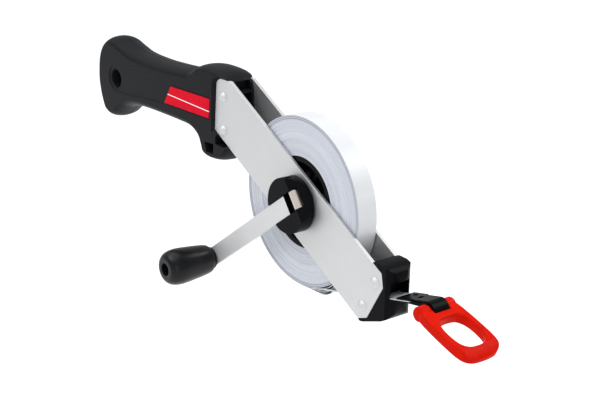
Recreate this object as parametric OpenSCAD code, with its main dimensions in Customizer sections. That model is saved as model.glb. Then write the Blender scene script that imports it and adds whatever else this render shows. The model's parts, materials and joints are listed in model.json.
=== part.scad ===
// Surveyor tape reel: open frame, folding crank, wound tape, pull ring and moulded hand grip.
// Units are mm, +Z up. The origin is the middle of the hand grip, +X runs to the pull ring,
// and the reel turns about the Y direction with its crank on the -Y side.

/* [Reel] */
// distance from the grip centre forward to the reel axis
hub_x = 160; // [140:1:180]
// height of the reel axis above the grip centre
hub_z = -36; // [-60:1:-20]
// width of the tape
tape_width = 13; // [10:0.5:16]
// outside radius of the wound tape
pack_radius = 49; // [40:0.5:60]
// outside radius of the drum
drum_radius = 26.5; // [20:0.5:32]

/* [Frame] */
// width of each side plate
plate_width = 36; // [30:1:44]
// thickness of each side plate
plate_thickness = 2; // [1.5:0.1:3]
// gap between the two side plates
plate_gap = 14; // [13.5:0.1:18]
// slope of the side plates below the grip direction, degrees
plate_slope = 29; // [20:1:40]
// reach of the plates past the reel axis towards the mouth
plate_reach = 76.5; // [70:0.5:90]

/* [Hand grip] */
// width of the hand grip across the flats
grip_width = 22; // [20:1:30]
// diameter of the lanyard hole
lanyard_bore = 12; // [8:0.5:16]

/* [Crank] */
// direction in which the crank arm rests, degrees up from +X
crank_rest = 216.7; // [180:0.1:270]
// distance from the reel axis to the knob axis
crank_throw = 91; // [80:1:100]
// width of the crank arm
arm_width = 11; // [8:0.5:14]
// thickness of the crank arm
arm_thickness = 2.5; // [2:0.1:4]
// largest diameter of the knob
knob_diameter = 22; // [18:1:28]
// length of the knob
knob_length = 33.2; // [26:0.1:40]

/* [Tape end] */
// distance from where the tape leaves the pack to the bar of the pull ring
ring_distance = 92.5; // [86:0.5:100]
// slope of the pull ring where it hangs, degrees below +X
ring_hang = 18; // [0:1:45]
// width of the pull ring
ring_width = 26.4; // [24:0.2:34]

/* [Hidden] */
$fn = 96;
eps = 0.01;
inner = plate_gap / 2;
outer = inner + plate_thickness;
side = grip_width / 2;
half_plate = plate_width / 2;
cut_x = -79;
top_z = 56.4;
run_slope = 13.7;
run_turn = run_slope - 90;
lead_in = 10;
mouth_rivet_t = plate_reach - 6.2;
rivet_spots = [
    [-72.3, 45.4],
    [-72.3, 25.1],
    plate_point(mouth_rivet_t, 9.4),
    plate_point(mouth_rivet_t, -9.4)
];
screw_spots = [[-50, 11], [-4, 8.5], [58, -9]];
lanyard_spot = [-33.6, -2.6];
roller_spot = [60, -4.05];
hollows = [[-22, -11, -14, 12], [5, 24, -12, 12], [26, 50, 1, 13], [26, 50, -12, -1], [66, 79, -14, 18]];
boss_radius = 16;
boss_back = outer + 0.8;
boss_front = 17.6;
arm_face = 17.2;
arm_start = -1.2;
fold_x = -8.4;
fold_y = -15;
knob_back = 17.6;
bar_drop = -4.4;

// Outline of the grip and head in the X-Z plane, key points in order.
grip_keys = [
    [-60, -4], [-58.6, 8], [-54, 17.5], [-46, 23], [-37, 23.6], [-27, 21], [-14, 18.2],
    [8, 17.2], [30, 17.8], [44, 18.7], [52, 19.2], [56.5, 21.4], [61, 23.8], [68, 25.1],
    [77, 25.3], [85.5, 24.7], [91.6, 22.9], [96, 18.9], [97.8, 12], [98, 0], [97.8, -12],
    [95.6, -20.5], [91.3, -26.6], [86, -30.4], [78, -31.8], [71, -31.4], [66.4, -29.2],
    [64.4, -25], [62, -20.6], [57, -18], [48, -17.1], [28, -16.8], [4, -17], [-12, -18],
    [-23, -20.6], [-30, -24.8], [-37, -29.6], [-44.5, -31.4], [-52, -28.4], [-56.6, -20.5],
    [-59.2, -12]
];

// Outline of the pull ring and of its finger hole, key points in the ring's own plane.
ring_keys = [
    [-2.2, 0.8], [2, 0.93], [10, 1], [20, 1.02], [30, 1], [35.4, 0.88], [38.2, 0.6], [39, 0.22]
];
hole_keys = [
    [9.8, 2.5], [10.8, 6.4], [14.8, 9], [21, 9.7], [27.5, 8.9], [30.9, 6.2], [31.9, 2.4]
];

function spline(a, b, c, d, t) = 0.5 * (
    2 * b + (c - a) * t + (2 * a - 5 * b + 4 * c - d) * t * t
    + (3 * b - 3 * c + d - a) * t * t * t
);
function smooth(p, steps) = [
    for (i = [0 : len(p) - 1], j = [0 : steps - 1])
        let (n = len(p))
        spline(p[(i + n - 1) % n], p[i], p[(i + 1) % n], p[(i + 2) % n], j / steps)
];
function normal_at(p, i) =
    let (n = len(p), d = p[(i + 1) % n] - p[(i + n - 1) % n])
    [-d[1], d[0]] / norm(d);
function shrink(p, d) = [
    for (i = [0 : len(p) - 1]) p[i] - d * edge_share(p[i][0]) * normal_at(p, i)
];
// The edges of the grip are rounder than those of its head.
function edge_share(x) = x < 50 ? 1 : x > 60 ? 0.62 : 1 - 0.038 * (x - 50);
function mirrored(p) = concat(p, [for (i = [len(p) - 1 : -1 : 0]) [p[i][0], -p[i][1]]]);
function turned(p, a) = [p[0] * cos(a) - p[1] * sin(a), p[0] * sin(a) + p[1] * cos(a)];
function plate_point(t, n) = turned([t, n], -plate_slope);
function on_edge(n, x) = (n - x * sin(plate_slope)) / cos(plate_slope);
function pack_leave() = pack_radius * [cos(run_turn), sin(run_turn)];

grip_outline = smooth(grip_keys, 3);

// ---------- helpers ----------

// Extrudes an X-Z drawing from y0 to y1.
module slab(y0, y1) {
    translate([0, y1, 0]) rotate([90, 0, 0]) linear_extrude(y1 - y0) children();
}

// A round bar along Y from y0 to y1 at an X-Z spot.
module bar(spot, r, y0, y1) {
    translate([spot[0], y1, spot[1]]) rotate([90, 0, 0]) cylinder(r = r, h = y1 - y0);
}

module at_hub() {
    translate([hub_x, 0, hub_z]) children();
}

// Local x runs along the crank arm, away from the reel axis.
module at_crank() {
    at_hub() rotate([0, -crank_rest, 0]) children();
}

// Local x runs out along the tape, from where it leaves the pack.
module at_tape() {
    at_hub() translate([pack_leave()[0], 0, pack_leave()[1]])
        rotate([0, -run_slope, 0]) children();
}

// Local x runs along the pull ring, from its bar.
module at_ring() {
    at_tape() translate([ring_distance, 0, bar_drop])
        rotate([0, run_slope + ring_hang, 0]) children();
}

// Solid between closed outlines [y, points]; each has the same number of points.
module loft(layers) {
    n = len(layers[0][1]);
    m = len(layers);
    points = [for (l = layers, p = l[1]) [p[0], l[0], p[1]]];
    sides = [
        for (k = [0 : m - 2], i = [0 : n - 1], h = [0, 1])
            let (a = k * n + i, b = k * n + (i + 1) % n)
            h == 0 ? [b, a, a + n] : [b, a + n, b + n]
    ];
    polyhedron(
        points = points,
        faces = concat(
            [[for (i = [0 : n - 1]) i]],
            sides,
            [[for (i = [n - 1 : -1 : 0]) (m - 1) * n + i]]
        )
    );
}

// ---------- hand grip ----------

module grip_half() {
    difference() {
        loft([
            [-2, shrink(grip_outline, 0)],
            [side - 6.5, shrink(grip_outline, 0.4)],
            [side - 3.2, shrink(grip_outline, 1.5)],
            [side - 1.1, shrink(grip_outline, 3.1)],
            [side + 0.4, shrink(grip_outline, 5.9)]
        ]);
        translate([-80, -10, -50]) cube([200, 10, 100]);
        translate([-80, side, -50]) cube([200, 10, 100]);
    }
}

module plate_outline(grow = 0) {
    g = grow;
    polygon([
        [cut_x - 1.8 - g, on_edge(-half_plate - g, cut_x - 1.8 - g)],
        plate_point(plate_reach - 5, -half_plate - g),
        plate_point(plate_reach + g, -half_plate + 6),
        plate_point(plate_reach + g, half_plate - 6),
        plate_point(plate_reach - 5, half_plate + g),
        [(half_plate + g - (top_z + g) * cos(plate_slope)) / sin(plate_slope), top_z + g],
        for (a = [90 : 15 : 180])
            [cut_x - g + 5 + 5 * cos(a), top_z + g - 5 + 5 * sin(a)]
    ]);
}

// The side band that joins the lanyard hole and the label.
module side_band() {
    polygon([
        [-33, 6], [77.4, 6.9], [76.4, -6.2], [26, -6.9], [-32, -11.2], [-37.5, -10.4],
        [-41.5, -6.6], [-42.4, -1.6], [-40.4, 2.8], [-37, 5.4]
    ]);
}

module front_pocket(z0, z1) {
    translate([91.4, -1, z0]) cube([8, inner - 0.8, z1 - z0]);
}

// One moulded shell; y runs outwards from the joint between the two shells.
module shell() {
    difference() {
        grip_half();
        // hollows between the ribs and screw bosses
        for (h = hollows) translate([h[0], -1, h[2]]) cube([h[1] - h[0], side - 2.2, h[3] - h[2]]);
        bar(lanyard_spot, lanyard_bore / 2, 1.6, side + 1);
        bar(lanyard_spot, lanyard_bore / 2 - 0.9, -1, 2);
        translate([lanyard_spot[0], side - 1.2, lanyard_spot[1]]) rotate([-90, 0, 0])
            cylinder(r1 = lanyard_bore / 2, r2 = lanyard_bore / 2 + 1.6, h = 1.25);
        slab(side - 0.5, side + 1) side_band();
        at_hub() slab(inner, side + 1) plate_outline(0.15);
        at_hub() for (i = [0, 1]) bar(rivet_spots[i], 2.02, -1, side);
        front_pocket(14.4, 20);
        front_pocket(-6.6, 12.8);
        front_pocket(-18.6, -8.2);
        // the dark recesses low on the flank and under the edge of the plate
        slab(3, side + 1) polygon([[70.8, -21.2], [80.4, -20.6], [80.4, -27], [73, -27.2]]);
        slab(3, side + 1) polygon([[82.4, -14.2], [82.4, -20], [90.6, -20.6], [93, -19.4]]);
        // ribs at the lower front corner
        slab(-1, inner - 1.8) polygon([[97, -20.2], [97, -21.8], [88.5, -26], [87.5, -25]]);
    }
}

module shell_near() {
    color("#2f3033") difference() {
        mirror([0, 1, 0]) shell();
        for (s = screw_spots) bar(s, 1.4, -7, 1);
    }
}

module shell_far() {
    color("#2f3033") difference() {
        shell();
        for (s = screw_spots) {
            bar(s, 1.7, -1, side + 1);
            bar(s, 3.4, side - 3, side + 1);
        }
    }
}

module shell_screws() {
    color("#8b8d92") for (s = screw_spots) {
        bar(s, 1.4, -6.8, side - 3);
        difference() {
            bar(s, 3.1, side - 3, side - 0.9);
            translate([s[0] - 2, side - 1.7, s[1] - 0.4]) cube([4, 2, 0.8]);
            translate([s[0] - 0.4, side - 1.7, s[1] - 2]) cube([0.8, 2, 4]);
        }
    }
}

module label_plate() {
    color("#d8141c") slab(-side - 0.1, -side + 0.5)
        polygon([[26.4, -6.4], [33.8, 5.5], [76.6, 6.4], [75.6, -5.7]]);
}

// ---------- frame ----------

module plate(y0) {
    at_hub() difference() {
        slab(y0, y0 + plate_thickness) plate_outline();
        bar([0, 0], 9.02, -20, 20);
        for (s = rivet_spots) bar(s, 2.02, -20, 20);
    }
}

module plate_near() {
    color("#d4d6d8") plate(-outer);
}

module plate_far() {
    color("#d4d6d8") plate(inner);
}

module rivet_head() {
    rotate_extrude() intersection() {
        translate([0, -2.2]) circle(r = 4.1);
        square([3.5, 4]);
    }
}

module frame_rivets() {
    color("#e2e3e5") at_hub() for (s = rivet_spots) {
        bar(s, 2, -outer - eps, outer + eps);
        translate([s[0], -outer, s[1]]) rotate([90, 0, 0]) rivet_head();
        translate([s[0], outer, s[1]]) rotate([-90, 0, 0]) rivet_head();
    }
}

module mouth_profile() {
    back = plate_reach - 14;
    polygon([
        plate_point(back, 17.4), [65.6, -14.2], [71.6, -14.4], [75, -15.6], [77.2, -17.6],
        [78, -20.4], [78.2, -37.5], [77.4, -41.4], [75.2, -44], [72, -45.8],
        [57.4, -51.2], [55.2, -51.4], [53.6, -50.2], plate_point(71, -17.4),
        plate_point(back, -17.4)
    ]);
}

module mouth_block() {
    color("#232427") difference() {
        at_hub() intersection() {
            slab(-outer + 0.2, outer - 0.2) mouth_profile();
            union() {
                translate([66.2, 0, -80]) cylinder(r = 12, h = 100);
                translate([40, -outer, -80]) cube([26.2, 2 * outer, 100]);
            }
        }
        at_hub() slab(inner, outer + 1) plate_outline(0.15);
        at_hub() slab(-outer - 1, -inner) plate_outline(0.15);
        at_hub() slab(-inner + 0.35, inner - 0.35)
            polygon([[81, -23], [72, -23.2], [70.3, -24.6], [69.8, -33], [81, -31]]);
        at_tape() translate([30, -inner + 0.1, -1.3]) cube([60, plate_gap - 0.2, 2.6]);
        at_hub() slab(-inner - 1, inner + 1) intersection() {
            plate_outline(0.1);
            translate(pack_leave()) rotate(run_slope) translate([30, -1.3]) square([60, 2.6]);
        }
        at_tape() bar(roller_spot, 3.5, -inner + 0.05, inner - 0.05);
        at_tape() bar(roller_spot, 1.22, -inner - 0.9, outer);
        for (i = [2, 3]) at_hub() bar(rivet_spots[i], 2.02, -20, 20);
    }
}

module guide_roller() {
    color("#c9c3b2") at_tape() difference() {
        bar(roller_spot, 3, -inner + 0.4, inner - 0.4);
        bar(roller_spot, 1.26, -inner, inner);
    }
}

module roller_pin() {
    color("#a9acb0") at_tape() bar(roller_spot, 1.2, -inner - 0.8, outer - 0.6);
}

module bush(bore) {
    difference() {
        union() {
            bar([0, 0], 9, inner, outer);
            bar([0, 0], 11.5, outer, outer + 0.6);
        }
        bar([0, 0], bore, inner - 1, outer + 1);
    }
}

module near_bush() {
    color("#e8e4d8") at_hub() mirror([0, 1, 0]) bush(7.05);
}

module far_bush() {
    color("#e8e4d8") at_hub() bush(6.05);
}

// The tape that has already left the pack and lies still between the pack and the mouth.
module tape_run() {
    color("#eceff2") at_tape() translate([-0.5, -tape_width / 2, -0.7])
        cube([64, tape_width, 0.4]);
}

// ---------- reel ----------

module drum() {
    color("#1f2023") at_hub() difference() {
        union() {
            difference() {
                bar([0, 0], drum_radius, -6.4, 6.4);
                bar([0, 0], drum_radius - 3, -7, 7);
            }
            bar([0, 0], drum_radius - 2.9, -1.5, 1.5);
            bar([0, 0], 10.5, -inner + 0.3, inner - 0.3);
            for (a = [0 : 60 : 300]) rotate([0, a, 0])
                translate([8, -4.6, -0.9]) cube([16, 9.2, 1.8]);
        }
        bar([0, 0], 4.02, -10, 10);
        rotate([0, -crank_rest, 0]) translate([-5, -inner, -5]) cube([10, 5.1, 10]);
        for (a = [30 : 60 : 330]) rotate([0, a, 0]) bar([17, 0], 3.2, -3, 3);
    }
}

module spindle() {
    color("#b4b7bb") at_hub() difference() {
        union() {
            bar([0, 0], 4, -boss_back - 0.7, outer + 0.62);
            bar([0, 0], 6, inner - 0.2, outer + 0.62);
        }
        bar([0, 0], 2.42, 2.8, 20);
    }
}

module spindle_washer() {
    color("#c3c6ca") at_hub() difference() {
        bar([0, 0], 8.5, outer + 0.75, outer + 1.75);
        bar([0, 0], 2.6, 0, 20);
    }
}

module spindle_screw() {
    color("#a4a7ab") at_hub() difference() {
        union() {
            bar([0, 0], 2.4, 3, outer + 1.8);
            translate([0, outer + 1.75, 0]) rotate([-90, 0, 0]) rotate_extrude()
                polygon([[0, 0], [5.6, 0], [5.6, 1.4], [4.9, 2.3], [3.4, 2.8], [0, 3]]);
        }
        translate([-5, outer + 3.7, -0.6]) cube([10, 2, 1.2]);
    }
}

module tape_pack() {
    color("#dfe5ee") at_hub() difference() {
        bar([0, 0], pack_radius, -tape_width / 2, tape_width / 2);
        bar([0, 0], drum_radius + 0.05, -tape_width, tape_width);
    }
}

// ---------- crank ----------

module crank_boss() {
    color("#1d1e20") at_crank() difference() {
        union() {
            difference() {
                bar([0, 0], boss_radius, -boss_front, -boss_back);
                // the side away from the arm slopes down to the plate
                translate([-8.4, -boss_front, -30]) rotate([0, 0, -36.5])
                    translate([-40, -20, 0]) cube([40, 20, 60]);
            }
            bar([0, 0], 7, -boss_back - eps, -inner + 0.1);
            translate([-4.9, -inner, -4.9]) cube([9.8, 5, 9.8]);
        }
        // slot for the flat of the arm, and the deeper pocket for its eye
        translate([-12.2, -30, -arm_width / 2 - 0.3])
            cube([40, 30 - 14.6, arm_width + 0.6]);
        translate([-12.2, -30, -arm_width / 2 - 0.3])
            cube([15.8, 30 - 11.2, arm_width + 0.6]);
        bar([0, 0], 4.02, -boss_back - 0.8, 0);
        translate([fold_x, fold_y, -20]) cylinder(r = 1.52, h = 31.9);
    }
}

module fold_pin() {
    color("#b9bcc0") at_crank() translate([fold_x, fold_y, -12.4]) cylinder(r = 1.5, h = 24.1);
}

module detent_spring() {
    color("#c8b47a") at_crank() translate([-11.6, -11.6, -4.6]) cube([14.8, 0.4, 9.2]);
}

module crank_arm() {
    color("#d3d5d7") at_crank() difference() {
        union() {
            translate([arm_start, -arm_face, -arm_width / 2])
                cube([crank_throw - arm_start, arm_thickness, arm_width]);
            bar([crank_throw, 0], arm_width / 2, -arm_face, -arm_face + arm_thickness);
            // joggle, tongue and curled eye
            translate([arm_start, -arm_face, -5.2]) cube([2, arm_face - 12.4, 10.4]);
            translate([fold_x, -14.4, -5.2]) cube([arm_start + 2 - fold_x, 2, 10.4]);
            translate([fold_x, fold_y, -5.2]) cylinder(r = 2.75, h = 10.4);
        }
        translate([fold_x, fold_y, -20]) cylinder(r = 1.56, h = 40);
        bar([crank_throw, 0], 2.02, -20, 0);
    }
}

module knob_pin() {
    color("#aeb1b5") at_crank() {
        bar([crank_throw, 0], 3, -44, -arm_face - eps);
        bar([crank_throw, 0], 3.6, -45.6, -43.9);
        bar([crank_throw, 0], 2, -arm_face - 1, -arm_face + arm_thickness + 0.1);
        bar([crank_throw, 0], 3.2, -arm_face + arm_thickness, -arm_face + arm_thickness + 1);
    }
}

module knob() {
    k = knob_diameter / 2;
    l = knob_length;
    color("#26272a") at_crank() translate([crank_throw, -knob_back, 0]) rotate([90, 0, 0])
        rotate_extrude() difference() {
            polygon([
                [0, 0], [k * 0.62, 0], [k * 0.63, l * 0.055], [k * 0.76, l * 0.08],
                [k * 0.82, l * 0.14], [k * 0.88, l * 0.27], [k * 0.93, l * 0.42],
                [k * 0.975, l * 0.57], [k, l * 0.7], [k * 0.99, l * 0.79],
                [k * 0.945, l * 0.87], [k * 0.86, l * 0.935], [k * 0.73, l * 0.98],
                [k * 0.58, l], [0, l]
            ]);
            square([6.1, 2 * l - 0.2], center = true);
            translate([0, 26]) square([3.8, l]);
        }
}

// ---------- tape end ----------

module tape_lead() {
    color("#f2f4f6") at_tape() difference() {
        translate([lead_in, -tape_width / 2, -0.25]) cube([81 - lead_in, tape_width, 0.4]);
        for (y = [-3, 3]) translate([76, y, -2]) cylinder(r = 0.82, h = 4);
    }
}

module tape_clip() {
    color("#202124") at_tape() difference() {
        union() {
            translate([71.2, -6.4, 0.2]) cube([10.8, 12.8, 0.9]);
            translate([81.5, -5.2, 0.2]) cube([ring_distance - 81.5, 10.4, 0.9]);
            bar([ring_distance, bar_drop], 5.5, -5.2, 5.2);
            slab(-5.2, 5.2) polygon([
                [74, -1.2], [74, -0.3], [ring_distance - 3, -0.3], [ring_distance - 3.6, -2.4]
            ]);
        }
        bar([ring_distance, bar_drop], 3.6, -6, 6);
        translate([81.6, -1.8, -4]) cube([2.8, 3.6, 6]);
        for (y = [-3, 3]) translate([76, y, -2]) cylinder(r = 0.82, h = 4);
    }
}

module clip_rivets() {
    color("#b9bcc0") at_tape() for (y = [-3, 3]) {
        translate([76, y, -1.5]) cylinder(r = 0.8, h = 2.7);
        translate([76, y, 1.1]) cylinder(r1 = 1.4, r2 = 0.9, h = 0.5);
    }
}

module pull_ring() {
    w = ring_width / 2;
    outline = mirrored([for (p = ring_keys) [p[0], p[1] * w]]);
    hole = mirrored(hole_keys);
    color("#e21a14") at_ring() {
        difference() {
            union() {
                translate([0, 0, -3.3]) linear_extrude(6.6) difference() {
                    polygon(smooth(outline, 5));
                    polygon(smooth(hole, 5));
                }
                bar([0, 0], 4.1, -12.2, -5.8);
                bar([0, 0], 4.1, 5.8, 12.2);
            }
            bar([0, 0], 6.4, -5.7, 5.7);
        }
        bar([0, 0], 3.3, -6, 6);
    }
}

shell_near();
shell_far();
shell_screws();
label_plate();
plate_near();
plate_far();
frame_rivets();
mouth_block();
guide_roller();
roller_pin();
near_bush();
far_bush();
tape_run();
drum();
spindle();
spindle_washer();
spindle_screw();
tape_pack();
crank_boss();
fold_pin();
detent_spring();
crank_arm();
knob_pin();
knob();
tape_lead();
tape_clip();
clip_rivets();
pull_ring();
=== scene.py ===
# Looks of the surveyor tape reel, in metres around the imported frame; shapes are given in mm.
import json
import math

import bmesh
import bpy
from mathutils import Matrix, Vector


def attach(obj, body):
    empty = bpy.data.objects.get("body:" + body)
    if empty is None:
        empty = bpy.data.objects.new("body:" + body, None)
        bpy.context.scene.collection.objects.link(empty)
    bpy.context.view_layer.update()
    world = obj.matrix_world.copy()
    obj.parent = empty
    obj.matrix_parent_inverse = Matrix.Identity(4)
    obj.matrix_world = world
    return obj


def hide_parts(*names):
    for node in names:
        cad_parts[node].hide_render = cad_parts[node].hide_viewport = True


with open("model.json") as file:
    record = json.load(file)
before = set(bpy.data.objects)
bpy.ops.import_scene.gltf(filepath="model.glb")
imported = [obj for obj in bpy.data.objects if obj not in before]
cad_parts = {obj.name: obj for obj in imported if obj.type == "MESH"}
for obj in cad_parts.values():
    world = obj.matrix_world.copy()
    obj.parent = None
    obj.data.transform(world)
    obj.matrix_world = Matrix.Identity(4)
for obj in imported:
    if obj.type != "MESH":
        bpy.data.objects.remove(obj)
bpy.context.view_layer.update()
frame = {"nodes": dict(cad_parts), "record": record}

MM = 0.001
# hand grip: half width, radius of its long edges, lanyard hole and screw places
SIDE = 11.0
ROUND = 5.3
LANYARD = (-33.6, -2.6)
LANYARD_R = 6.0
LEDGE_R = 5.1
SCREWS = [(-50, 11), (-4, 8.5), (58, -9)]
# side plates: inner and outer faces, and their slope below the grip's direction
INNER = 7.0
OUTER = 9.0
SLOPE = math.radians(29)
PLATE_FIT = 0.15
# reel, its crank and the crank's knob
HUB = Vector((160, 0, -36))
PACK_R = 49.0
DRUM_R = 26.5
CRANK_TURN = math.radians(216.7)
THROW = 91.0
ARM_END = -0.9
EYE_EDGE = -6.7
KNOB_BACK = 17.6
KNOB_R = 11.0
KNOB_LENGTH = 33.2
KNOB_BORE = 3.05
KNOB_BORE_DEPTH = 26.0
KNOB_MOUTH = 3.8
# tape and pull ring
TAPE_HALF = 6.5
TURN_THICKNESS = 0.32
RUN_SLOPE = math.radians(13.7)
RING_DISTANCE = 92.5
RING_HANG = math.radians(18)
RING_HALF = 13.2
BAR_DROP = -4.4

# ---------- places ----------


def turn_y(angle):
    return Matrix.Rotation(angle, 4, "Y")


PLACE = Matrix.Identity(4)
NEAR_SIDE = Matrix.Scale(-1, 4, (0, 1, 0))
AT_LANYARD = Matrix.Translation((LANYARD[0], 0, LANYARD[1]))
AT_HUB = Matrix.Translation(HUB)
AT_PLATE = AT_HUB @ turn_y(SLOPE)
AT_CRANK = AT_HUB @ turn_y(-CRANK_TURN)
LEAVE = Vector((PACK_R * math.sin(RUN_SLOPE), 0, -PACK_R * math.cos(RUN_SLOPE)))
AT_TAPE = AT_HUB @ Matrix.Translation(LEAVE) @ turn_y(-RUN_SLOPE)
AT_BAR = AT_TAPE @ Matrix.Translation((RING_DISTANCE, 0, BAR_DROP))
AT_RING = AT_BAR @ turn_y(RUN_SLOPE + RING_HANG)

# ---------- outlines ----------

# (x, z) in mm: keys of the grip's smooth outline, and corners of the sunk band on its flank
GRIP_KEYS = [
    (-60, -4), (-58.6, 8), (-54, 17.5), (-46, 23), (-37, 23.6), (-27, 21), (-14, 18.2),
    (8, 17.2), (30, 17.8), (44, 18.7), (52, 19.2), (56.5, 21.4), (61, 23.8), (68, 25.1),
    (77, 25.3), (85.5, 24.7), (91.6, 22.9), (96, 18.9), (97.8, 12), (98, 0), (97.8, -12),
    (95.6, -20.5), (91.3, -26.6), (86, -30.4), (78, -31.8), (71, -31.4), (66.4, -29.2),
    (64.4, -25), (62, -20.6), (57, -18), (48, -17.1), (28, -16.8), (4, -17), (-12, -18),
    (-23, -20.6), (-30, -24.8), (-37, -29.6), (-44.5, -31.4), (-52, -28.4), (-56.6, -20.5),
    (-59.2, -12),
]
BAND = [
    (-33, 6), (77.4, 6.9), (76.4, -6.2), (26, -6.9), (-32, -11.2), (-37.5, -10.4),
    (-41.5, -6.6), (-42.4, -1.6), (-40.4, 2.8), (-37, 5.4),
]
# keys of half the ring's outline, widths as shares of RING_HALF, and of half its window
RING_KEYS = [
    (-3, 0.3), (-2.7, 0.6), (-0.9, 0.84), (3, 0.95), (10, 1), (20, 1.02), (30, 1),
    (35.4, 0.88), (38.2, 0.6), (39, 0.22),
]
HOLE_KEYS = [
    (9.8, 2.5), (10.8, 6.4), (14.8, 9), (21, 9.7), (27.5, 8.9), (30.9, 6.2), (31.9, 2.4),
]


def curve_point(a, b, c, d, t):
    return 0.5 * (
        2 * b + (c - a) * t + (2 * a - 5 * b + 4 * c - d) * t ** 2
        + (3 * b - 3 * c + d - a) * t ** 3
    )


def smooth(keys, steps, closed=True):
    """Catmull-Rom points through the keys."""
    keys = [Vector(k) for k in keys]
    n = len(keys)
    out = []
    for i in range(n if closed else n - 1):
        if closed:
            four = [keys[(i + k) % n] for k in (-1, 0, 1, 2)]
        else:
            four = [keys[max(0, min(n - 1, i + k))] for k in (-1, 0, 1, 2)]
        out += [curve_point(*four, j / steps) for j in range(steps)]
    return out if closed else out + [keys[-1]]


def shrink(points, d, share=None):
    """Moves a clockwise outline inwards by d, or by a share of it; negative d grows it."""
    n = len(points)
    out = []
    for i, p in enumerate(points):
        along = points[(i + 1) % n] - points[i - 1]
        reach = d * share(p.x) if share else d
        out.append(p - reach * Vector((-along.y, along.x)) / along.length)
    return out


def edge_share(x):
    """The edges of the grip are rounder than those of its head."""
    return 1 - 0.38 * min(1.0, max(0.0, (x - 50) / 10))


def mirrored(points):
    return list(points) + [(u, -v) for u, v in reversed(points)]


def clockwise(points):
    points = [Vector(p) for p in points]
    area = sum(p.cross(q) for p, q in zip(points, points[1:] + points[:1]))
    return points[::-1] if area > 0 else points


def plate_point(t, n):
    return Vector((
        t * math.cos(SLOPE) + n * math.sin(SLOPE),
        -t * math.sin(SLOPE) + n * math.cos(SLOPE),
    ))


def plate_outline(g):
    """Side plate outline around the hub, grown by g."""
    half, reach, cut, top = 18.0, 76.5, -79.0, 56.4
    chamfer, slant, bend, lean = 5, 6, 5, 1.8
    low = cut - lean - g
    corner = [math.radians(a) for a in range(90, 181, 15)]
    return clockwise(
        [
            (low, (-half - g - low * math.sin(SLOPE)) / math.cos(SLOPE)),
            plate_point(reach - chamfer, -half - g),
            plate_point(reach + g, -half + slant),
            plate_point(reach + g, half - slant),
            plate_point(reach - chamfer, half + g),
            ((half + g - (top + g) * math.cos(SLOPE)) / math.sin(SLOPE), top + g),
        ]
        + [
            (cut - g + bend + bend * math.cos(a), top + g - bend + bend * math.sin(a))
            for a in corner
        ]
    )


# ---------- mesh helpers ----------


def build(name, verts, faces, at=PLACE):
    """Object from points in mm in a local frame."""
    mesh = bpy.data.meshes.new(name)
    mesh.from_pydata([at @ Vector(v) * MM for v in verts], [], faces)
    bm = bmesh.new()
    bm.from_mesh(mesh)
    bmesh.ops.remove_doubles(bm, verts=bm.verts, dist=1e-7)
    bmesh.ops.dissolve_degenerate(bm, edges=bm.edges, dist=1e-8)
    bmesh.ops.recalc_face_normals(bm, faces=bm.faces)
    bm.to_mesh(mesh)
    bm.free()
    piece = bpy.data.objects.new(name, mesh)
    bpy.context.scene.collection.objects.link(piece)
    return piece


def skin(name, rings, at=PLACE, caps=True, loop=False):
    """Surface through rings of equal point count."""
    n, m = len(rings[0]), len(rings)
    faces = [
        (k * n + i, k * n + (i + 1) % n, (k + 1) % m * n + (i + 1) % n, (k + 1) % m * n + i)
        for k in range(m if loop else m - 1)
        for i in range(n)
    ]
    if caps and not loop:
        faces += [tuple(range(n))[::-1], tuple(range((m - 1) * n, m * n))]
    return build(name, [p for ring in rings for p in ring], faces, at)


def slab(name, outline, y0, y1, at=PLACE):
    return skin(name, [[(p[0], y, p[1]) for p in outline] for y in (y0, y1)], at)


def tapered(name, outline, layers, at=PLACE, share=None):
    """Loft of one outline at several (y, inset) layers."""
    outline = clockwise(outline)
    rings = [[(p.x, y, p.y) for p in shrink(outline, d, share)] for y, d in layers]
    return skin(name, rings, at)


def lathe(name, profile, at=PLACE, steps=96, loop=False):
    """Turns (radius, y) points about the local Y axis."""
    angles = [2 * math.pi * i / steps for i in range(steps)]
    rings = [
        [(r * math.cos(a), y, r * math.sin(a)) for a in angles]
        for r, y in profile
    ]
    return skin(name, rings, at, caps=False, loop=loop)


def bar(name, r, half, at):
    """A round bar about the local Y axis, from -half to half."""
    return lathe(name, [(0, -half), (r, -half), (r, half), (0, half)], at, 64)


def block(name, low, high, at):
    corners = [
        (x, low[2]) if z == 0 else (x, high[2])
        for x, z in ((low[0], 0), (high[0], 0), (high[0], 1), (low[0], 1))
    ]
    return slab(name, corners, low[1], high[1], at)


def bake(piece):
    """Keeps the result of the modifiers as the mesh."""
    bpy.context.view_layer.update()
    solved = piece.evaluated_get(bpy.context.evaluated_depsgraph_get())
    mesh = bpy.data.meshes.new_from_object(solved)
    piece.modifiers.clear()
    old, piece.data = piece.data, mesh
    bpy.data.meshes.remove(old)


def combine(piece, tools, operation="DIFFERENCE", crossing=False):
    for tool in tools:
        step = piece.modifiers.new("combine", "BOOLEAN")
        step.operation = operation
        step.solver = "EXACT"
        step.use_self = crossing
        step.object = tool
    bake(piece)
    for tool in tools:
        mesh = tool.data
        bpy.data.objects.remove(tool)
        bpy.data.meshes.remove(mesh)
    return piece


def shade(piece, angle=32, bevel=0.0):
    """Optional edge rounding, then smooth shading with sharp edges kept."""
    if bevel:
        edge = piece.modifiers.new("edge", "BEVEL")
        edge.width = bevel * MM
        edge.segments = 2
        edge.limit_method = "ANGLE"
        edge.angle_limit = math.radians(35)
        edge.miter_outer = "MITER_ARC"
        bake(piece)
    mesh = piece.data
    mesh.polygons.foreach_set("use_smooth", [True] * len(mesh.polygons))
    mesh.set_sharp_from_angle(angle=math.radians(angle))
    weighted = piece.modifiers.new("normals", "WEIGHTED_NORMAL")
    weighted.keep_sharp = True
    weighted.weight = 60
    return piece


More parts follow.
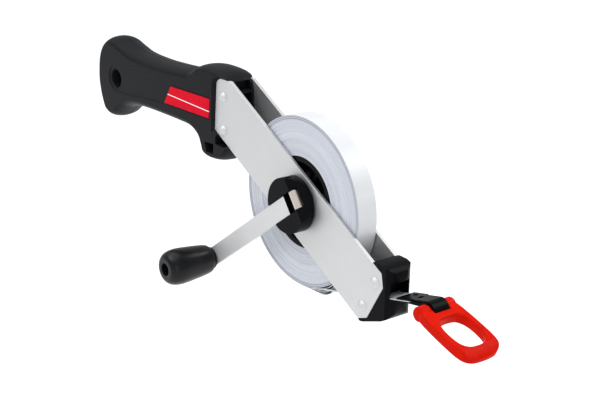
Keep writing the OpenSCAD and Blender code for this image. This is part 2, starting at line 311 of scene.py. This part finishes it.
def refine(node, name, bevel):
    """A copy of a CAD node with its facets merged and its edges rounded."""
    mesh = frame["nodes"][node].data.copy()
    custom = mesh.attributes.get("custom_normal")
    if custom:
        mesh.attributes.remove(custom)
    bm = bmesh.new()
    bm.from_mesh(mesh)
    bmesh.ops.remove_doubles(bm, verts=bm.verts, dist=2e-6)
    bmesh.ops.dissolve_limit(
        bm, angle_limit=math.radians(0.5), verts=bm.verts, edges=bm.edges
    )
    bmesh.ops.recalc_face_normals(bm, faces=bm.faces)
    bm.to_mesh(mesh)
    bm.free()
    piece = bpy.data.objects.new(name, mesh)
    bpy.context.scene.collection.objects.link(piece)
    return shade(piece, 40, bevel)


BODY_OF = {
    node: body
    for body, nodes in frame["record"]["behaviour"]["bodies"].items()
    for node in nodes
}


def stand_in(piece, node, *looks, replace=True):
    """Puts a piece on its node's body, in place of the node, with its materials."""
    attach(piece, BODY_OF[node])
    if replace:
        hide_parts(node)
    piece.data.materials.clear()
    for look in looks:
        piece.data.materials.append(look)
    return piece


def assign(piece, slot, chosen):
    """Gives the faces that chosen accepts another of the piece's materials."""
    for face in piece.data.polygons:
        if chosen(face):
            face.material_index = slot


def paint(node, look):
    for holder in frame["nodes"][node].material_slots:
        holder.material = look


# ---------- materials ----------


class Look:
    """A Principled material with small helpers for its node tree."""

    def __init__(self, name, rough, metal=0.0, **sockets):
        self.material = bpy.data.materials.new(name)
        self.material.use_nodes = True
        self.tree = self.material.node_tree
        self.shader = self.tree.nodes["Principled BSDF"]
        self.shader.inputs["Roughness"].default_value = rough
        self.shader.inputs["Metallic"].default_value = metal
        for key, value in sockets.items():
            self.shader.inputs[key.replace("_", " ")].default_value = value
        self.place = self.node("ShaderNodeTexCoord").outputs["Object"]

    def node(self, kind, **fields):
        made = self.tree.nodes.new(kind)
        for key, value in fields.items():
            setattr(made, key, value)
        return made

    def link(self, a, b):
        self.tree.links.new(a, b)

    def local(self, at, scale=(1, 1, 1)):
        """Coordinates in a local frame, in mm, stretched by scale."""
        there = self.node("ShaderNodeMapping", vector_type="TEXTURE")
        there.inputs["Location"].default_value = at.to_translation() * MM
        there.inputs["Rotation"].default_value = at.to_euler()
        there.inputs["Scale"].default_value = (MM, MM, MM)
        self.link(self.place, there.inputs["Vector"])
        stretch = self.node("ShaderNodeMapping")
        stretch.inputs["Scale"].default_value = scale
        self.link(there.outputs[0], stretch.inputs["Vector"])
        return stretch.outputs[0]

    def noise(self, place, scale, detail=3.0, rough=0.5):
        made = self.node("ShaderNodeTexNoise")
        made.inputs["Scale"].default_value = scale
        made.inputs["Detail"].default_value = detail
        made.inputs["Roughness"].default_value = rough
        self.link(place, made.inputs["Vector"])
        return made.outputs["Fac"]

    def ramp(self, value, *stops):
        made = self.node("ShaderNodeValToRGB")
        points = made.color_ramp.elements
        while len(points) < len(stops):
            points.new(0.5)
        for point, (spot, colour) in zip(points, stops):
            point.position = spot
            point.color = (*colour, 1)
        self.link(value, made.inputs[0])
        return made.outputs["Color"]

    def math(self, operation, a, b=0.0):
        made = self.node("ShaderNodeMath", operation=operation)
        for i, value in enumerate((a, b)):
            if isinstance(value, (int, float)):
                made.inputs[i].default_value = value
            else:
                self.link(value, made.inputs[i])
        return made.outputs[0]

    def blend(self, a, share, b):
        """A weighted sum: share of a, and the rest of b."""
        return self.math(
            "ADD", self.math("MULTIPLY", a, share), self.math("MULTIPLY", b, round(1 - share, 3))
        )

    def parts(self, vector):
        made = self.node("ShaderNodeSeparateXYZ")
        self.link(vector, made.inputs[0])
        return made.outputs

    def mix(self, amount, a, b):
        made = self.node("ShaderNodeMix", data_type="RGBA")
        self.link(amount, made.inputs[0])
        for i, value in ((6, a), (7, b)):
            if isinstance(value, tuple):
                made.inputs[i].default_value = (*value, 1)
            else:
                self.link(value, made.inputs[i])
        return made.outputs[2]

    def colour(self, value):
        self.link(value, self.shader.inputs["Base Color"])
        return self

    def roughness(self, value, low, high):
        made = self.node("ShaderNodeMapRange")
        made.inputs["To Min"].default_value = low
        made.inputs["To Max"].default_value = high
        self.link(value, made.inputs["Value"])
        self.link(made.outputs[0], self.shader.inputs["Roughness"])
        return self

    def bump(self, value, depth):
        """Relief of the given depth in mm."""
        made = self.node("ShaderNodeBump")
        made.inputs["Strength"].default_value = 1
        made.inputs["Distance"].default_value = depth * MM
        self.link(value, made.inputs["Height"])
        self.link(made.outputs[0], self.shader.inputs["Normal"])
        return self


def spread(colour, vary):
    """Stops of a ramp from a darker to a lighter tone of one colour."""
    darker, lighter = (tuple(min(1.0, c * k) for c in colour) for k in (1 - vary, 1 + vary))
    return (0.3, darker), (0.7, lighter)


def plastic(name, colour, rough, grain, depth, vary=0.12, gloss=0.22):
    """Moulded plastic: fine spark-eroded grain and slow changes of tone and gloss."""
    look = Look(name, rough, Specular_IOR_Level=gloss)
    slow = look.noise(look.local(PLACE), 0.09, 4)
    fine = look.noise(look.local(PLACE), grain, 3, 0.6)
    look.colour(look.ramp(slow, *spread(colour, vary)))
    look.roughness(slow, rough - 0.05, rough + 0.07)
    return look.bump(fine, depth).material


def brushed(name, colour, rough, at, along, metal=1.0):
    """Drawn or brushed metal: faint streaks along one local direction."""
    look = Look(name, rough, metal)
    streaks = look.noise(look.local(at, along), 1.0, 4, 0.6)
    slow = look.noise(look.local(at), 0.06, 3)
    both = look.blend(streaks, 0.6, slow)
    look.colour(look.ramp(both, *spread(colour, 0.05)))
    look.roughness(both, rough - 0.06, rough + 0.1)
    return look.bump(streaks, 0.004).material


shell_look = plastic("grip_plastic", (0.0075, 0.008, 0.0098), 0.46, 1.9, 0.03, gloss=0.075)
black_look = plastic("black_plastic", (0.0026, 0.0028, 0.0035), 0.34, 2.2, 0.02, gloss=0.045)
boss_look = plastic("boss_plastic", (0.0025, 0.0027, 0.0036), 0.36, 2.2, 0.02, gloss=0.055)
knob_look = plastic("knob_plastic", (0.003, 0.0033, 0.0043), 0.28, 2.4, 0.015, gloss=0.2)
drum_look = plastic("drum_plastic", (0.003, 0.003, 0.0035), 0.5, 1.8, 0.02, gloss=0.08)
bush_look = plastic("bush_plastic", (0.62, 0.6, 0.55), 0.45, 2.0, 0.01, vary=0.05)
roller_look = plastic("roller_plastic", (0.5, 0.47, 0.4), 0.45, 2.0, 0.01, vary=0.05)
# blacked steel of the clip, its rivets and the fold pin; also used as painted shade on the crank
# arm's neck
blacked_steel_and_shade_look = plastic(
    "blacked_steel_and_painted_shade", (0.003, 0.0032, 0.004), 0.28, 1.2, 0.01, vary=0.25, gloss=0.035
)
plate_look = brushed("plate_aluminium", (0.6, 0.605, 0.61), 0.5, AT_PLATE, (0.05, 3, 3))
arm_look = brushed("arm_aluminium", (0.62, 0.625, 0.63), 0.6, AT_CRANK, (0.05, 3, 3), metal=0.7)
rivet_look = brushed(
    "rivet_aluminium", (0.6, 0.605, 0.61), 0.58, AT_HUB, (1.5, 1.5, 1.5), metal=0.75
)
steel_look = brushed("bright_steel", (0.55, 0.56, 0.58), 0.3, AT_HUB, (2, 2, 2))
eye_look = brushed("eye_steel", (0.6, 0.53, 0.48), 0.42, AT_CRANK, (3, 3, 0.2))
spring_look = brushed("spring_brass", (0.6, 0.5, 0.28), 0.35, AT_CRANK, (0.2, 3, 3))


def ring_material():
    look = Look("ring_red", 0.2, Specular_IOR_Level=0.025)
    slow = look.noise(look.local(AT_RING), 0.12, 3)
    fine = look.noise(look.local(AT_RING), 1.3, 2)
    look.colour(look.ramp(slow, (0.3, (0.47, 0.0055, 0.001)), (0.7, (0.56, 0.009, 0.002))))
    look.roughness(slow, 0.2, 0.3)
    return look.bump(fine, 0.006).material


def label_material():
    """Red printed label with one thin pale rule and no lettering."""
    rule_start, rule_end, rule_half, rule_top, rule_fall = 29.0, 76.6, 0.26, 0.9, 0.03
    look = Look("label_red", 0.3, Specular_IOR_Level=0.015)
    spot = look.local(PLACE)
    x, _, z = look.parts(spot)[:3]
    slow = look.noise(spot, 0.15, 3)
    red = look.ramp(slow, (0.3, (0.52, 0.004, 0.016)), (0.7, (0.62, 0.007, 0.022)))
    fall = look.math("MULTIPLY", x, rule_fall)
    away = look.math("ABSOLUTE", look.math("ADD", fall, look.math("ADD", z, -rule_top)))
    near = look.math("LESS_THAN", away, rule_half)
    after = look.math("GREATER_THAN", x, rule_start)
    inside = look.math("MULTIPLY", after, look.math("LESS_THAN", x, rule_end))
    look.colour(look.mix(look.math("MULTIPLY", near, inside), red, (0.85, 0.83, 0.83)))
    look.roughness(slow, 0.26, 0.36)
    return look.bump(look.noise(spot, 1.5, 2), 0.006).material


def pack_side_material():
    """Wound tape seen edge on: rings of tone that follow the radius."""
    look = Look("tape_edges", 0.42, IOR=1.45)
    spot = look.local(AT_HUB)
    x, _, z = look.parts(spot)[:3]
    squares = look.math("ADD", look.math("MULTIPLY", x, x), look.math("MULTIPLY", z, z))
    radius = look.math("SQRT", squares)
    line = look.node("ShaderNodeCombineXYZ")
    look.link(radius, line.inputs[0])
    broad = look.noise(line.outputs[0], 0.22, 2)
    fine = look.noise(line.outputs[0], 2.2, 3, 0.7)
    both = look.blend(broad, 0.5, fine)
    calm = look.ramp(
        both,
        (0.34, (0.36, 0.38, 0.43)), (0.44, (0.47, 0.49, 0.54)),
        (0.58, (0.52, 0.545, 0.6)), (0.7, (0.58, 0.61, 0.655)),
    )
    # the outermost turns lie looser, 1 mm apart; thin rings between them are painted dark as
    # painted shade in the gaps
    loose_from, gap_start, gap_width, painted_gap_shade = 46.9, 0.85, 0.45, 0.75
    outer = look.math("GREATER_THAN", radius, loose_from)
    phase = look.math("FRACT", look.math("ADD", radius, gap_start))
    gap = look.math("LESS_THAN", phase, gap_width)
    shadow = look.math("MULTIPLY", look.math("MULTIPLY", outer, gap), painted_gap_shade)
    # painted shade: the gap rings are darkened towards a dark blue grey
    look.colour(look.mix(shadow, calm, (0.12, 0.13, 0.17)))
    look.roughness(fine, 0.34, 0.5)
    return look.bump(fine, 0.05).material


def tape_material():
    """White coated tape with plain graduations along one edge of its upper face."""
    look = Look("tape_white", 0.34, IOR=1.5)
    spot = look.local(AT_TAPE)
    x, y, z = look.parts(spot)[:3]
    slow = look.noise(spot, 0.1, 3)
    white = look.ramp(slow, (0.3, (0.5, 0.52, 0.545)), (0.7, (0.56, 0.58, 0.605)))

    def tick(period, width, reach):
        phase = look.math("FRACT", look.math("DIVIDE", x, period))
        on = look.math("LESS_THAN", phase, width / period)
        return look.math("MULTIPLY", on, look.math("LESS_THAN", y, reach))

    marks = look.math("MAXIMUM", tick(1.0, 0.3, -4.2), tick(5.0, 0.4, -2.6))
    marks = look.math("MAXIMUM", marks, tick(10.0, 0.5, 0.5))
    top = look.math("GREATER_THAN", z, 0.1)
    look.colour(look.mix(look.math("MULTIPLY", marks, top), white, (0.02, 0.02, 0.022)))
    look.roughness(slow, 0.28, 0.4)
    return look.bump(look.noise(spot, 0.8, 2), 0.01).material


def turn_material():
    """Outer face of the wound tape: smooth white coating, slightly blue."""
    look = Look("tape_outer", 0.36, IOR=1.5)
    spot = look.local(AT_HUB, (1, 0.15, 1))
    slow = look.noise(spot, 0.12, 4)
    look.colour(look.ramp(slow, (0.3, (0.6, 0.615, 0.63)), (0.7, (0.66, 0.67, 0.685))))
    look.roughness(slow, 0.28, 0.42)
    return look.bump(look.noise(spot, 0.35, 2), 0.03).material


ring_look = ring_material()
label_look = label_material()
edge_look = pack_side_material()
tape_look = tape_material()
turn_look = turn_material()

# ---------- hand grip ----------


def grip_shell(name, at, far):
    """One shell of the grip; the far one has the counterbores of the screws."""
    turns = [math.radians(a) for a in range(9, 91, 9)]
    layers = [(0, 0.35), (0.3, 0.0)]
    layers += [(SIDE * math.sin(a), ROUND * (1 - math.cos(a))) for a in turns]
    piece = tapered(name, smooth(GRIP_KEYS, 8), layers, at, edge_share)
    lip_round, ledge_depth, beyond = 1.6, 1.6, SIDE + 1
    arc = [math.radians(a) for a in range(0, 91, 15)]
    lip = [
        (
            LANYARD_R + lip_round * (1 - math.cos(a)),
            SIDE - lip_round + lip_round * math.sin(a),
        )
        for a in arc
    ]
    hole = [(0, -2), (LEDGE_R, -2), (LEDGE_R, ledge_depth), (LANYARD_R, ledge_depth)] + lip
    hole += [(LANYARD_R + 1.7, beyond), (0, beyond)]
    recess_edge = [(OUTER + 0.1, 0), (SIDE + 0.1, -2), (beyond, -2)]
    band_edge = [(SIDE - 0.5, 0.2), (SIDE - 0.42, 0), (SIDE + 0.05, -0.45), (beyond, -0.45)]
    tools = [
        slab("t", plate_outline(PLATE_FIT), INNER, SIDE + 2, at @ AT_HUB),
        tapered("t", plate_outline(PLATE_FIT), recess_edge, at @ AT_HUB),
        lathe("t", hole, at @ AT_LANYARD),
        tapered("t", BAND, band_edge, at),
    ]
    # pockets in the head's front, recesses in its flank, and ribs at its lower front corner
    pocket_depth, flank = INNER - 1.8, 3
    for z0, z1 in ((14.4, 20), (-6.6, 12.8), (-18.6, -8.2)):
        tools.append(block("t", (91.4, -1, z0), (99.4, pocket_depth, z1), at))
    low_recess = [(70.8, -21.2), (80.4, -20.6), (80.4, -27), (73, -27.2)]
    edge_recess = [(82.4, -14.2), (82.4, -20), (90.6, -20.6), (93, -19.4)]
    corner_slot = [(97, -20.2), (97, -21.8), (88.5, -26), (87.5, -25)]
    tools += [slab("t", recess, flank, beyond, at) for recess in (low_recess, edge_recess)]
    tools.append(slab("t", corner_slot, -1, pocket_depth, at))
    if far:
        sink = [(0, 8), (3.4, 8), (3.4, SIDE - 0.5), (4, SIDE + 0.1), (4, beyond), (0, beyond)]
        tools += [lathe("t", sink, Matrix.Translation((x, 0, z)), 48) for x, z in SCREWS]
    return shade(combine(piece, tools), 34)


stand_in(grip_shell("grip_near", NEAR_SIDE, False), "shell_near", shell_look)
stand_in(grip_shell("grip_far", PLACE, True), "shell_far", shell_look)

label = tapered(
    "grip_label",
    [(26.4, -6.4), (33.8, 5.5), (76.6, 6.4), (75.6, -5.7)],
    [(SIDE - 0.5, 0), (SIDE + 0.02, 0), (SIDE + 0.1, 0.12)],
    NEAR_SIDE,
)
stand_in(shade(label), "label_plate", label_look)

# ---------- frame, hub and crank: the CAD shapes with their edges worked ----------

for node, name, bevel, look in (
    ("plate_near", "side_plate_near", 0.35, plate_look),
    ("plate_far", "side_plate_far", 0.35, plate_look),
    ("mouth_block", "tape_mouth", 0.8, black_look),
    ("crank_boss", "hub_boss", 1.0, boss_look),
    ("drum", "reel_drum", 0.3, drum_look),
    ("far_bush", "bush_far", 0.15, bush_look),
    ("near_bush", "bush_near", 0.15, bush_look),
    ("spindle_washer", "washer", 0.15, steel_look),
    ("spindle_screw", "screw", 0.15, steel_look),
    ("tape_clip", "end_clip", 0.16, blacked_steel_and_shade_look),
):
    stand_in(refine(node, name, bevel), node, look)


def crank_x(face):
    return (AT_CRANK.inverted() @ (face.center / MM)).x


# the arm ends in its bare eye; the neck between them lies deeper in shadow and is painted with
# the dark clip steel as painted shade
arm = refine("crank_arm", "crank_strip", 0.3)
stand_in(arm, "crank_arm", arm_look, eye_look, blacked_steel_and_shade_look)
assign(arm, 1, lambda face: crank_x(face) < EYE_EDGE)
# painted shade: the neck's faces get the dark steel where the neck lies in shadow
assign(arm, 2, lambda face: EYE_EDGE <= crank_x(face) < ARM_END)

for node, look in (
    ("shell_screws", steel_look), ("guide_roller", roller_look),
    ("roller_pin", steel_look), ("spindle", steel_look), ("fold_pin", blacked_steel_and_shade_look),
    ("detent_spring", spring_look), ("knob_pin", steel_look), ("clip_rivets", blacked_steel_and_shade_look),
    ("tape_run", tape_look), ("tape_lead", tape_look),
):
    paint(node, look)


def joined(name, pieces):
    """One object from several."""
    bm = bmesh.new()
    for piece in pieces:
        mesh = piece.data
        bm.from_mesh(mesh)
        bpy.data.objects.remove(piece)
        bpy.data.meshes.remove(mesh)
    mesh = bpy.data.meshes.new(name)
    bm.to_mesh(mesh)
    bm.free()
    made = bpy.data.objects.new(name, mesh)
    bpy.context.scene.collection.objects.link(made)
    return made


def rivet(at):
    """A domed rivet through both side plates, with a small set mark on each head."""
    dome, sunk, foot, mark = 4.1, 2.2, 3.5, 1
    arc = [math.radians(a) for a in range(10, 58, 6)]
    head = [(0, OUTER + 1.62), (0.7, OUTER + 1.66), (0.95, OUTER + 1.8)]
    head += [
        (dome * math.sin(a), OUTER - sunk + dome * math.cos(a))
        for a in arc if dome * math.sin(a) > mark
    ]
    head += [(foot, OUTER + 0.1), (foot, OUTER), (2, OUTER)]
    other = [(r, -y) for r, y in reversed(head)]
    return lathe("t", head + other, at, 48)


rivet_spots = [
    Vector((-72.3, 45.4)), Vector((-72.3, 25.1)),
    plate_point(70.3, 9.4), plate_point(70.3, -9.4),
]
rivets = joined("plate_rivets", [
    rivet(AT_HUB @ Matrix.Translation((spot.x, 0, spot.y))) for spot in rivet_spots
])
stand_in(shade(rivets, 40), "frame_rivets", rivet_look)

# ---------- knob ----------

# (share of the radius, share of the length) from the arm to the end
KNOB_KEYS = [
    (0.62, 0), (0.63, 0.055), (0.76, 0.08), (0.82, 0.14), (0.88, 0.27), (0.93, 0.42),
    (0.975, 0.57), (1, 0.7), (0.99, 0.79), (0.945, 0.87), (0.86, 0.935), (0.73, 0.98),
    (0.58, 1),
]


def crank_knob():
    keys = [(KNOB_R * u, KNOB_LENGTH * v) for u, v in KNOB_KEYS]
    profile = [(KNOB_BORE, 0.0)] + [tuple(p) for p in smooth(keys, 5, closed=False)]
    profile += [
        (KNOB_MOUTH + 0.5, KNOB_LENGTH), (KNOB_MOUTH + 0.15, KNOB_LENGTH - 0.12),
        (KNOB_MOUTH, KNOB_LENGTH - 0.5), (KNOB_MOUTH, KNOB_BORE_DEPTH),
        (KNOB_BORE, KNOB_BORE_DEPTH),
    ]
    at = AT_CRANK @ Matrix.Translation((THROW, -KNOB_BACK, 0)) @ NEAR_SIDE
    return shade(lathe("crank_knob", profile, at, 128, loop=True), 40)


stand_in(crank_knob(), "knob", knob_look)

# ---------- wound tape ----------


def uneven(i, k=1.0):
    """A repeatable value between 0 and 1."""
    return 0.5 + 0.5 * math.sin(12.9898 * i * k + 4.1 * math.sin(3.7 * i + k))


def tape_winding():
    """The wound tape, with its turns at slightly different heights."""
    turns, start, rise = 36, DRUM_R + 0.05, 0.22
    step = (PACK_R - start) / turns
    half = []
    for i in range(turns):
        r = start + i * step
        y = TAPE_HALF - rise * uneven(i) * (0.35 + 0.65 * uneven(i // 5, 2.3))
        half += [(r, y), (r + step, y)]
    half[-1] = (PACK_R, half[-1][1])
    profile = half + [(r, -y) for r, y in reversed(half)]
    return shade(lathe("tape_winding", profile, AT_HUB, 160, loop=True), 30)


def on_outside(face):
    """Whether a face of the winding belongs to the outer face of the tape."""
    spot = face.center / MM - HUB
    return math.hypot(spot.x, spot.z) > PACK_R - 0.2 and abs(face.normal.y) < 0.5


def loose_turn(name, lift, swell, width, shift):
    """One outer turn that stands off the winding where the tape leaves it."""
    rings = []
    count, centre, edge = 180, 299, TAPE_HALF - 0.05
    for i in range(count):
        a = 2 * math.pi * i / count
        off = (math.degrees(a) - centre + 180) % 360 - 180
        low = PACK_R + lift + swell * math.exp(-((off / width) ** 2))
        high = low + TURN_THICKNESS
        rings.append([
            (r * math.cos(a), y + shift, r * math.sin(a))
            for r, y in ((low, -edge), (high, -edge), (high, edge), (low, edge))
        ])
    return shade(skin(name, rings, AT_HUB, loop=True), 40)


winding = stand_in(tape_winding(), "tape_pack", edge_look, turn_look)
assign(winding, 1, on_outside)
for index, (lift, swell, width, shift) in enumerate((
    (-0.66, 1.7, 12, -0.06), (-0.34, 3.2, 13, 0.05), (-0.04, 4.6, 13, -0.03),
)):
    turn = loose_turn(f"loose_turn_{index + 1}", lift, swell, width, shift)
    stand_in(turn, "tape_pack", edge_look, turn_look, replace=False)
    assign(turn, 1, lambda face: abs(face.normal.y) < 0.5)

# ---------- pull ring ----------


def pull_ring():
    """The flat ring with its rounded edges, and two ears that hold the bar in the clip."""
    outline = clockwise(smooth(mirrored([(u, v * RING_HALF) for u, v in RING_KEYS]), 8))
    window = clockwise(smooth(mirrored(HOLE_KEYS), 8))
    lying = AT_RING @ Matrix.Rotation(math.radians(90), 4, "X")
    edge, thick = 1.7, 3.3
    arc = [math.radians(a) for a in range(0, 91, 15)]
    up = [(thick - edge + edge * math.sin(a), edge * (1 - math.cos(a))) for a in arc]
    body = tapered("pull_ring_red", outline, [(-y, d) for y, d in reversed(up)] + up, lying)
    hole = [(-thick - 1, -edge - 0.02)] + [(-y, -d) for y, d in reversed(up)]
    hole += [(y, -d) for y, d in up] + [(thick + 1, -edge - 0.02)]
    combine(body, [tapered("t", window, hole, lying)], crossing=True)
    ears = []
    for s in (1, -1):
        ear = [(0, 5.8), (3.6, 5.8), (4.1, 6.3), (4.1, 11), (3.75, 11.8), (3, 12.2), (0, 12.2)]
        ears.append(lathe("t", [(r, s * y) for r, y in ear], AT_RING, 64))
    combine(body, ears, "UNION", True)
    # the far end is bevelled from above, down to a blunt nose
    nose = [(32.6, 3.4), (33.6, 2.95), (35.4, 2.1), (37.4, 0.9), (41, -1.6), (44, 6), (32.6, 6)]
    combine(body, [slab("t", nose, -16, 16, AT_RING)], crossing=True)
    # room for the clip between the ears, then the bar
    combine(body, [bar("t", 6.4, 5.7, AT_RING)], crossing=True)
    combine(body, [bar("t", 3.3, 6, AT_RING)], "UNION", True)
    return shade(body, 36)


stand_in(pull_ring(), "pull_ring", ring_look)

# ---------- studio ----------


def area_light(name, place, aim, size, power):
    data = bpy.data.lights.new(name, "AREA")
    data.shape = "RECTANGLE"
    data.size, data.size_y = size
    data.energy = power
    lamp = bpy.data.objects.new(name, data)
    bpy.context.scene.collection.objects.link(lamp)
    lamp.location = place
    lamp.rotation_euler = (Vector(aim) - Vector(place)).to_track_quat("-Z", "Y").to_euler()


def studio():
    world = bpy.data.worlds.new("studio")
    bpy.context.scene.world = world
    world.use_nodes = True
    sky = world.node_tree.nodes["Background"]
    sky.inputs["Color"].default_value = (0.97, 0.98, 1, 1)
    sky.inputs["Strength"].default_value = 0.68
    middle = (0.1, 0, -0.02)
    overhead = bpy.data.lights.new("overhead", "SUN")
    overhead.energy = 1.7
    overhead.angle = math.radians(70)
    lamp = bpy.data.objects.new("overhead", overhead)
    lamp.rotation_euler = (math.radians(14), math.radians(-12), 0)
    bpy.context.scene.collection.objects.link(lamp)
    area_light("key", (-0.25, -0.75, 1.0), middle, (0.6, 0.6), 4)
    area_light("rim", (0.6, 0.9, 0.8), middle, (0.8, 0.5), 6)
    area_light("fill", (1.2, -0.6, 0.2), middle, (0.5, 0.5), 1.5)
    reach, level = 9000, -300
    floor = build(
        "studio_floor",
        [(reach * x, reach * y, level) for x, y in ((-1, -1), (1, -1), (1, 1), (-1, 1))],
        [(0, 1, 2, 3)],
    )
    pale = Look("floor_white", 0.7)
    slow = pale.noise(pale.place, 1.5)
    pale.colour(pale.ramp(slow, (0.3, (0.9, 0.9, 0.9)), (0.7, (0.92, 0.92, 0.92))))
    floor.data.materials.append(pale.material)
    bpy.context.scene.view_settings.view_transform = "Standard"


def camera():
    """Stands where the photo's camera stood, as outlines of the object in the photo show it."""
    data = bpy.data.cameras.new("camera")
    data.lens = 73.041
    data.sensor_width = 36
    holder = bpy.data.objects.new("camera", data)
    bpy.context.scene.collection.objects.link(holder)
    holder.location = (0.6618, -0.41032, 0.18677)
    pitch, roll, heading = 71.024, -1.086, 51.588
    holder.rotation_euler = [math.radians(a) for a in (pitch, roll, heading)]
    bpy.context.scene.camera = holder


studio()
camera()
